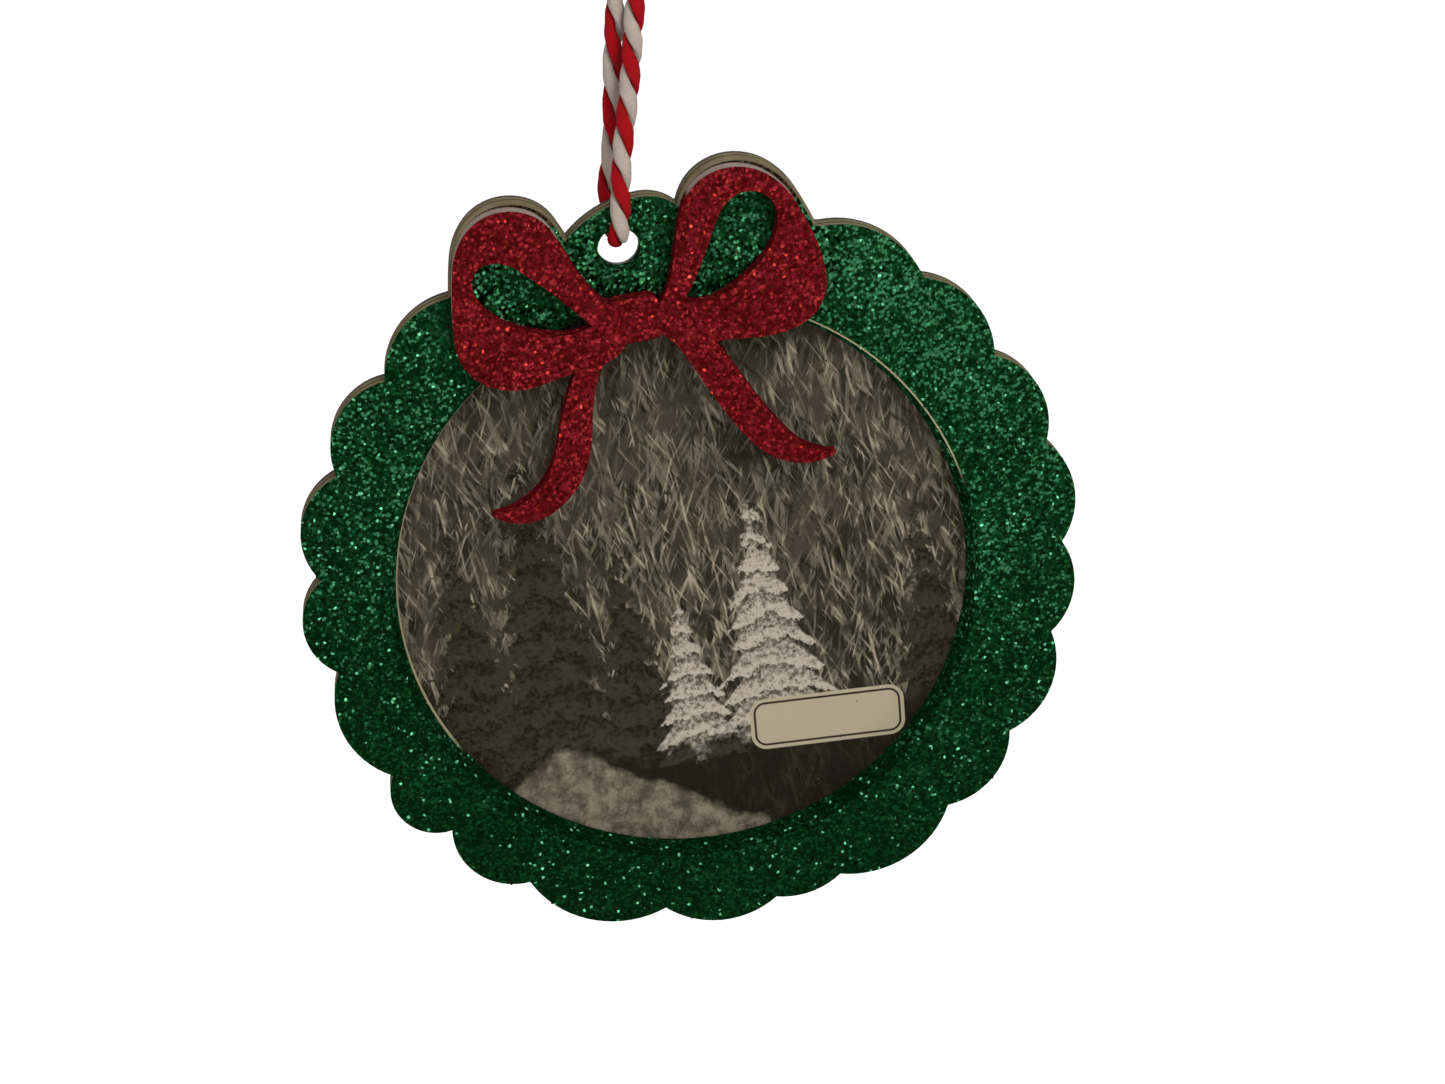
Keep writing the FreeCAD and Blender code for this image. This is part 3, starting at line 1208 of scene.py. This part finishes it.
    def add_rings(self, bm: bmesh.types.BMesh, centres: Sequence[Vector], outward: Sequence[Vector],
                  turns: Sequence[float], sizes: Sequence[float]) -> list[list[bmesh.types.BMVert]]:
        """Add the points of one strand, ring by ring, swollen a little by its plies.

        Args:
            bm: the mesh that gets the points.
            centres: the strand's own centreline.
            outward: directions from the twist's centreline to the strand's.
            turns: the twist's angle at each point.
            sizes: the share of the full thickness at each point.

        Returns:
            The rings, from one end to the other.
        """
        last = len(centres) - 1
        rings = []
        for i, (centre, out) in enumerate(zip(centres, outward)):
            ahead = (centres[min(i + 1, last)] - centres[max(i - 1, 0)]).normalized()
            out = (out - ahead * out.dot(ahead)).normalized()
            wide = ahead.cross(out)
            full = self.cut_size if i in (0, last) else sizes[i]
            ring = []
            for k in range(self.sides):
                angle = math.tau * k / self.sides
                ply = math.cos(self.plies * angle - turns[i] / self.ply_pitch)
                size = full * (1 + self.ply_depth * ply)
                point = centre + out * (self.strand_depth * size * math.cos(angle))
                ring.append(bm.verts.new(point + wide * (self.strand_width * size * math.sin(angle))))
            rings.append(ring)
        return rings

    def add_skin(self, bm: bmesh.types.BMesh, rings: Sequence[Sequence[bmesh.types.BMVert]],
                 uv_layer: bmesh.types.BMLayerItem) -> None:
        """Join one strand's rings with faces, and close both of its ends.

        Args:
            bm: the mesh that gets the faces.
            rings: the strand's rings of points.
            uv_layer: the UV map, which the fibres follow.
        """
        for i, (low, high) in enumerate(zip(rings, rings[1:])):
            for k in range(self.sides):
                near = (k + 1) % self.sides
                face = bm.faces.new((low[k], low[near], high[near], high[k]))
                face.smooth = True
                corners = ((k, i), (k + 1, i), (k + 1, i + 1), (k, i + 1))
                for loop, (around, step) in zip(face.loops, corners):
                    along = step * self.step / self.front_pitch
                    around_share = around / self.sides + self.fibre_turn * along
                    loop[uv_layer].uv = (around_share, self.fibre_length * along)
        bm.faces.new(list(reversed(rings[0])))
        bm.faces.new(rings[-1])

    def finish_mesh(self, bm: bmesh.types.BMesh, name: str, material: Material) -> bpy.types.Object:
        """Turn the built strands into a piece with outward normals.

        Args:
            bm: the mesh with the strands, which is freed.
            name: the piece's name.
            material: its finish.

        Returns:
            The piece.
        """
        bmesh.ops.recalc_face_normals(bm, faces=bm.faces)
        mesh = bpy.data.meshes.new(name)
        bm.to_mesh(mesh)
        bm.free()
        return mesh_object(name, mesh, material)

    def build_knot(self, material: Material) -> bpy.types.Object:
        """Wraps of twine round the two ends, with two cut tails.

        Args:
            material: the twine's finish.

        Returns:
            The knot.
        """
        first, second, last = [Vector(self.route[i]) * MM for i in (0, 1, -1)]
        up = (first - second).normalized()
        across = first - last
        across = (across - up * across.dot(up)).normalized()
        deep = up.cross(across)
        base = (first + last) / 2
        bm = bmesh.new()
        wrap = []
        for i in range(self.wrap_steps + 1):
            share = i / self.wrap_steps
            angle = math.tau * self.wraps * share
            reach = self.wrap_radius - self.wrap_narrowing * share
            height = self.knot_low + (self.knot_high - self.knot_low) * share
            wrap.append(base + up * height + (across * math.cos(angle) + deep * math.sin(angle)) * reach)
        wrap_line = self.centreline("wrap_guide", wrap)
        self.lay_strands(bm, wrap_line, self.even_turns(len(wrap_line)))
        middle = 0.5 * self.knot_high
        parts = 4
        for side in (-1, 1):
            lean = math.radians(side * self.tail_spread)
            way = up * math.cos(lean) + across * math.sin(lean)
            whole = way * (self.tail_length + middle)
            points = [base + up * middle + whole * i / parts for i in range(parts + 1)]
            points[parts // 2] += deep * self.tail_bow
            tail_line = self.centreline("tail_guide", points)
            self.lay_strands(bm, tail_line, self.even_turns(len(tail_line), side))
        return self.finish_mesh(bm, "tied_knot", material)

    def build(self, material: Material) -> None:
        """Args:
            material: the twine's finish.
        """
        line = self.centreline("loop_guide", [Vector(point) * MM for point in self.route])
        bm = bmesh.new()
        self.lay_strands(bm, line, self.loop_turns(len(line)), self.loop_sizes(len(line)))
        loop = self.finish_mesh(bm, "twisted_loop", material)
        knot = self.build_knot(material)
        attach(loop, BODY)
        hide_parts("twine_loop")
        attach(knot, BODY)
        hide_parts("twine_knot")
        log.info("twisted_loop, %d points along its line", len(line))
        log.info("tied_knot, %g wraps and two tails", self.wraps)


@dataclass(frozen=True)
class LooseFlakes:
    """Glitter flakes that lie on a surface, each a thin six-sided plate.

    They lean by a few degrees, more or less, and rise by a share of their radius.
    """

    name: str
    under: tuple[str, ...]
    count: int
    seed: int
    radius: float = 0.2 * MM
    size_range: Range = (0.6, 1.25)
    thickness: float = 0.03 * MM
    top_share: float = 0.86
    lean: float = 14.0
    rise: float = 0.4
    reach: float = 51.0 * MM
    over_top: float = 4.0 * MM
    drop_from: float = -50.0 * MM
    stops: tuple[str, ...] = ("wreath_film", "bow_film", "wreath_plate", "bow_plate", "window_cover")

    def land(self, trees: dict[str, BVHTree], rng: random.Random) -> Vector | None:
        """Drop one flake from the front.

        Args:
            trees: the solids that can stop it, by name.
            rng: the random numbers.

        Returns:
            The point that it lands on, if that's on one of the wanted solids.
        """
        x = rng.uniform(-self.reach, self.reach)
        z = rng.uniform(-self.reach, self.reach + self.over_top)
        best = None
        for node, tree in trees.items():
            hit = tree.ray_cast(Vector((x, self.drop_from, z)), Vector((0, 1, 0)))[0]
            if hit is not None and (best is None or hit.y < best[1].y):
                best = (node, hit)
        return best[1] if best and best[0] in self.under else None

    def laid(self, spot: Vector, rng: random.Random) -> Matrix:
        """How one flake lies where it landed: nearly flat, and turned at random.

        Args:
            spot: the point that it landed on.
            rng: the random numbers.

        Returns:
            The matrix that takes the unit plate there.
        """
        size = self.radius * rng.uniform(*self.size_range)
        turn = Matrix.Rotation(math.radians(90) + math.radians(rng.gauss(0, self.lean)), 4, "X")
        turn = Matrix.Rotation(math.radians(rng.gauss(0, self.lean)), 4, "Z") @ turn
        turn = turn @ Matrix.Rotation(rng.uniform(0, math.tau), 4, "Z")
        raised = spot - Vector((0, self.rise * self.radius, 0))
        return Matrix.Translation(raised) @ turn @ Matrix.Diagonal((size, size, self.thickness, 1.0))

    def model_flake(self) -> bpy.types.Mesh:
        """One six-sided plate of unit size, a little narrower on top.

        Returns:
            Its mesh.
        """
        upward = 0.9
        deselect()
        bpy.ops.mesh.primitive_cylinder_add(vertices=6, radius=1.0, depth=1.0)
        flake = bpy.context.object
        for face in flake.data.polygons:
            face.select = face.normal.z > upward
        bpy.ops.object.mode_set(mode="EDIT")
        bpy.ops.mesh.select_mode(type="FACE")
        bpy.ops.transform.resize(value=(self.top_share, self.top_share, 1.0))
        bpy.ops.object.mode_set(mode="OBJECT")
        mesh = flake.data
        bpy.data.objects.remove(flake)
        return mesh

    def build(self, material: Material, slot: str) -> None:
        """Scatter the flakes.

        Args:
            material: their finish.
            slot: not used.
        """
        rng = random.Random(self.seed)
        trees = {}
        for node in self.stops:
            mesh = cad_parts[node].data
            corners = [vertex.co.copy() for vertex in mesh.vertices]
            trees[node] = BVHTree.FromPolygons(corners, [tuple(face.vertices) for face in mesh.polygons])
        pattern = self.model_flake()
        points = []
        faces = []
        made = 0
        while made < self.count:
            spot = self.land(trees, rng)
            if spot is None:
                continue
            place = self.laid(spot, rng)
            start = len(points)
            points += [place @ vertex.co for vertex in pattern.vertices]
            faces += [[start + corner for corner in face.vertices] for face in pattern.polygons]
            made += 1
        mesh = bpy.data.meshes.new(self.name)
        mesh.from_pydata(points, [], faces)
        piece = mesh_object(self.name, mesh, material)
        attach(piece, BODY)
        log.info("%s, %d flakes", self.name, made)


@dataclass(frozen=True)
class Wreath:
    """The wreath: a clear sheet, the green glitter on its front and loose flakes of it."""

    # The green's flakes are lighter towards the top right: painted light.
    glitter: GlitterFinish = GlitterFinish(
        "green_glitter", dark=srgb("#021a06"), middle=srgb("#0d3416"), light=srgb("#326b46"),
        spark=srgb("#6cc892"), spark_share=0.018, grazing=(0.08, 0.35, 0.18), painted_light_per_metre=4.0,
        # The hem colour is a painted shade on the film's rim, outside the bow's lobes.
        hem_shade=srgb("#35241a"),
    )
    window_zone: Zone = Zone(0.0, 0.0, 38.5 * MM)
    hole_zone: Zone = Zone(-1.4 * MM, 45.0 * MM, 3.4 * MM)
    top_gleam: LitEdge = LitEdge(39.0, 30.0, 37.82 * MM, 38.1 * MM)
    left_gleam: LitEdge = LitEdge(158.0, 52.0, 36.8 * MM, 37.04 * MM, share=0.7)
    sheet: SheetFinish = SheetFinish(
        "clear_wreath_sheet", pale=srgb("#7d735a"), glitter=glitter, tinted=(window_zone, hole_zone),
        lit=(top_gleam, left_gleam), seam_depth=-2.3 * MM,
    )
    flakes: LooseFlakes = LooseFlakes("green_flakes", ("wreath_film",), count=900, seed=11)

    def build(self, effects: Effects) -> Material:
        """Dress the wreath and scatter its flakes.

        Args:
            effects: the shared groups.

        Returns:
            The green glitter's material.
        """
        green = self.glitter.build(effects)
        dress("wreath_film", green)
        dress("wreath_plate", self.sheet.build(effects))
        self.flakes.build(green, "green_glitter")
        return green


@dataclass(frozen=True)
class Bow:
    """The bow: a clear sheet, the red glitter on its front and loose flakes of it."""

    glitter: GlitterFinish = GlitterFinish(
        "red_glitter", dark=srgb("#42080a"), middle=srgb("#621318"), light=srgb("#8a2629"),
        spark=srgb("#e2483c"), spark_share=0.012, grazing=(0.5, 0.06, 0.05),
    )
    # Inside these zones the bow sheet's cut edges take the red glitter's colour: partly the glitter seen
    # through the sheet, partly painted shade on the bow's inner edges. Outside them, at the lobes' tops,
    # they stay pale.
    low_zone: Zone = Zone(0.0, 0.0, 45.5 * MM)
    right_zone: Zone = Zone(12.9 * MM, 43.2 * MM, 9.0 * MM)
    left_zone: Zone = Zone(-13.9 * MM, 41.0 * MM, 8.6 * MM)
    sheet: SheetFinish = SheetFinish(
        "clear_bow_sheet", pale=srgb("#9a8b80"), glitter=glitter, tinted=(low_zone, right_zone, left_zone),
    )
    flakes: LooseFlakes = LooseFlakes("red_flakes", ("bow_film",), count=300, seed=12)

    def build(self, effects: Effects) -> None:
        """Dress the bow and scatter its flakes.

        Args:
            effects: the shared groups.
        """
        red = self.glitter.build(effects)
        dress("bow_film", red)
        dress("bow_plate", self.sheet.build(effects))
        self.flakes.build(red, "red_glitter")


@dataclass(frozen=True)
class Pocket:
    """The pocket behind the window: card, cover, spacer and back panel, with stray flakes."""

    card: PrintFinish = PrintFinish()
    cover: CoverFinish = CoverFinish()
    panel: PanelFinish = PanelFinish("dark_panel", srgb("#2b2622"))
    flakes: LooseFlakes = LooseFlakes("stray_flakes", ("window_cover",), count=24, seed=13,
                                      radius=0.13 * MM, reach=36.0 * MM)

    def build(self, effects: Effects, green: Material) -> None:
        """Dress the pocket's pieces and scatter the stray flakes.

        Args:
            effects: the shared groups.
            green: the green glitter's material.
        """
        dress("window_cover", self.cover.build(effects))
        dark = self.panel.build(effects)
        dress("back_panel", dark)
        dress("pocket_spacer", dark)
        dress("photo_insert", self.card.build(effects))
        self.flakes.build(green, "green_glitter")


@dataclass(frozen=True)
class PhotoCamera:
    """The camera at the photograph's place."""

    place: Place = (-0.0168, -0.38875, 0.1419)
    right: Place = (0.98228, -0.11057, -0.15133)
    up: Place = (0.17940, 0.32098, 0.92994)
    focal_pixels: float = 3200.0
    image_width: float = 1445.0
    sensor_width: float = 36.0

    def build(self) -> None:
        """Add the camera and make it the scene's."""
        data = bpy.data.cameras.new("photo_camera")
        data.sensor_width = self.sensor_width
        data.lens = self.focal_pixels / self.image_width * self.sensor_width
        data.clip_start = 0.01
        camera = bpy.data.objects.new("photo_camera", data)
        bpy.context.scene.collection.objects.link(camera)
        right = Vector(self.right).normalized()
        up = Vector(self.up)
        up = (up - right * up.dot(right)).normalized()
        turn = Matrix((right, up, right.cross(up))).transposed()
        camera.matrix_world = Matrix.Translation(self.place) @ turn.to_4x4()
        bpy.context.scene.camera = camera


@dataclass(frozen=True)
class Lamp:
    """A square lamp that shines at the middle of the window."""

    name: str
    place: Place
    size: float
    power: float

    def build(self) -> None:
        """Add the lamp."""
        data = bpy.data.lights.new(self.name, "AREA")
        data.size = self.size
        data.energy = self.power
        lamp = bpy.data.objects.new(self.name, data)
        bpy.context.scene.collection.objects.link(lamp)
        lamp.location = self.place
        lamp.rotation_euler = (-Vector(self.place)).to_track_quat("-Z", "Y").to_euler()


@dataclass(frozen=True)
class Studio:
    """Floor, lamps and world, at a plain level."""

    floor_height: float = -0.14
    floor_width: float = 12.0
    floor_tone: float = 0.9
    floor_roughness: float = 0.8
    floor_glow: float = 0.55
    world_level: float = 0.5
    key_lamp: Lamp = Lamp("key_lamp", (0.17, -0.30, 0.28), size=0.2, power=1.3)
    side_lamp: Lamp = Lamp("side_lamp", (-0.6, -0.5, 0.4), size=0.35, power=1.0)

    def build(self) -> None:
        """Make the studio."""
        scene = bpy.context.scene
        scene.view_settings.view_transform = "Standard"
        self.build_world(scene)
        self.build_floor()
        self.key_lamp.build()
        self.side_lamp.build()

    @staticmethod
    def seen_mask(bench: Bench) -> Socket:
        """1 for rays that show the background: from the camera, mirrored or let through.

        Args:
            bench: the tree of the world or of a material.

        Returns:
            The mask.
        """
        path = bench.add("LightPath").outputs
        seen = bench.math("MAXIMUM", path["Is Camera Ray"], path["Is Glossy Ray"])
        return bench.math("MAXIMUM", seen, path["Is Transmission Ray"])

    def build_world(self, scene: bpy.types.Scene) -> None:
        """White for what looks at it, plain grey light for the rest.

        Args:
            scene: the scene that gets the world.
        """
        world = bpy.data.worlds.new("studio_world")
        world.use_nodes = True
        scene.world = world
        bench = Bench(world.node_tree)
        shader = world.node_tree.nodes["Background"]
        lift = bench.times(self.seen_mask(bench), 1.0 - self.world_level)
        bench.feed(shader.inputs["Strength"], bench.plus(lift, self.world_level))
        shader.inputs["Color"].default_value = PURE_WHITE

    def build_floor(self) -> None:
        """Pale floor under the hanging ornament."""
        deselect()
        bpy.ops.mesh.primitive_plane_add(size=self.floor_width, location=(0, 0, self.floor_height))
        floor = bpy.context.object
        floor.name = "studio_floor"
        material, bench, shader = fresh_material("pale_floor")
        shader.inputs["Base Color"].default_value = (*[self.floor_tone] * 3, 1.0)
        shader.inputs["Roughness"].default_value = self.floor_roughness
        shader.inputs["Emission Color"].default_value = PURE_WHITE
        glow = bench.times(self.seen_mask(bench), self.floor_glow)
        bench.feed(shader.inputs["Emission Strength"], glow)
        floor.data.materials.append(material)


def main() -> None:
    """Build the ornament's looks and the studio."""
    logging.basicConfig(level=logging.INFO)
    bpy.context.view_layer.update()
    PhotoCamera().build()
    effects = Effects()
    TwistedTwine().build(TwineFinish().build())
    green = Wreath().build(effects)
    Bow().build(effects)
    Pocket().build(effects, green)
    Studio().build()


if __name__ == "__main__":
    main()
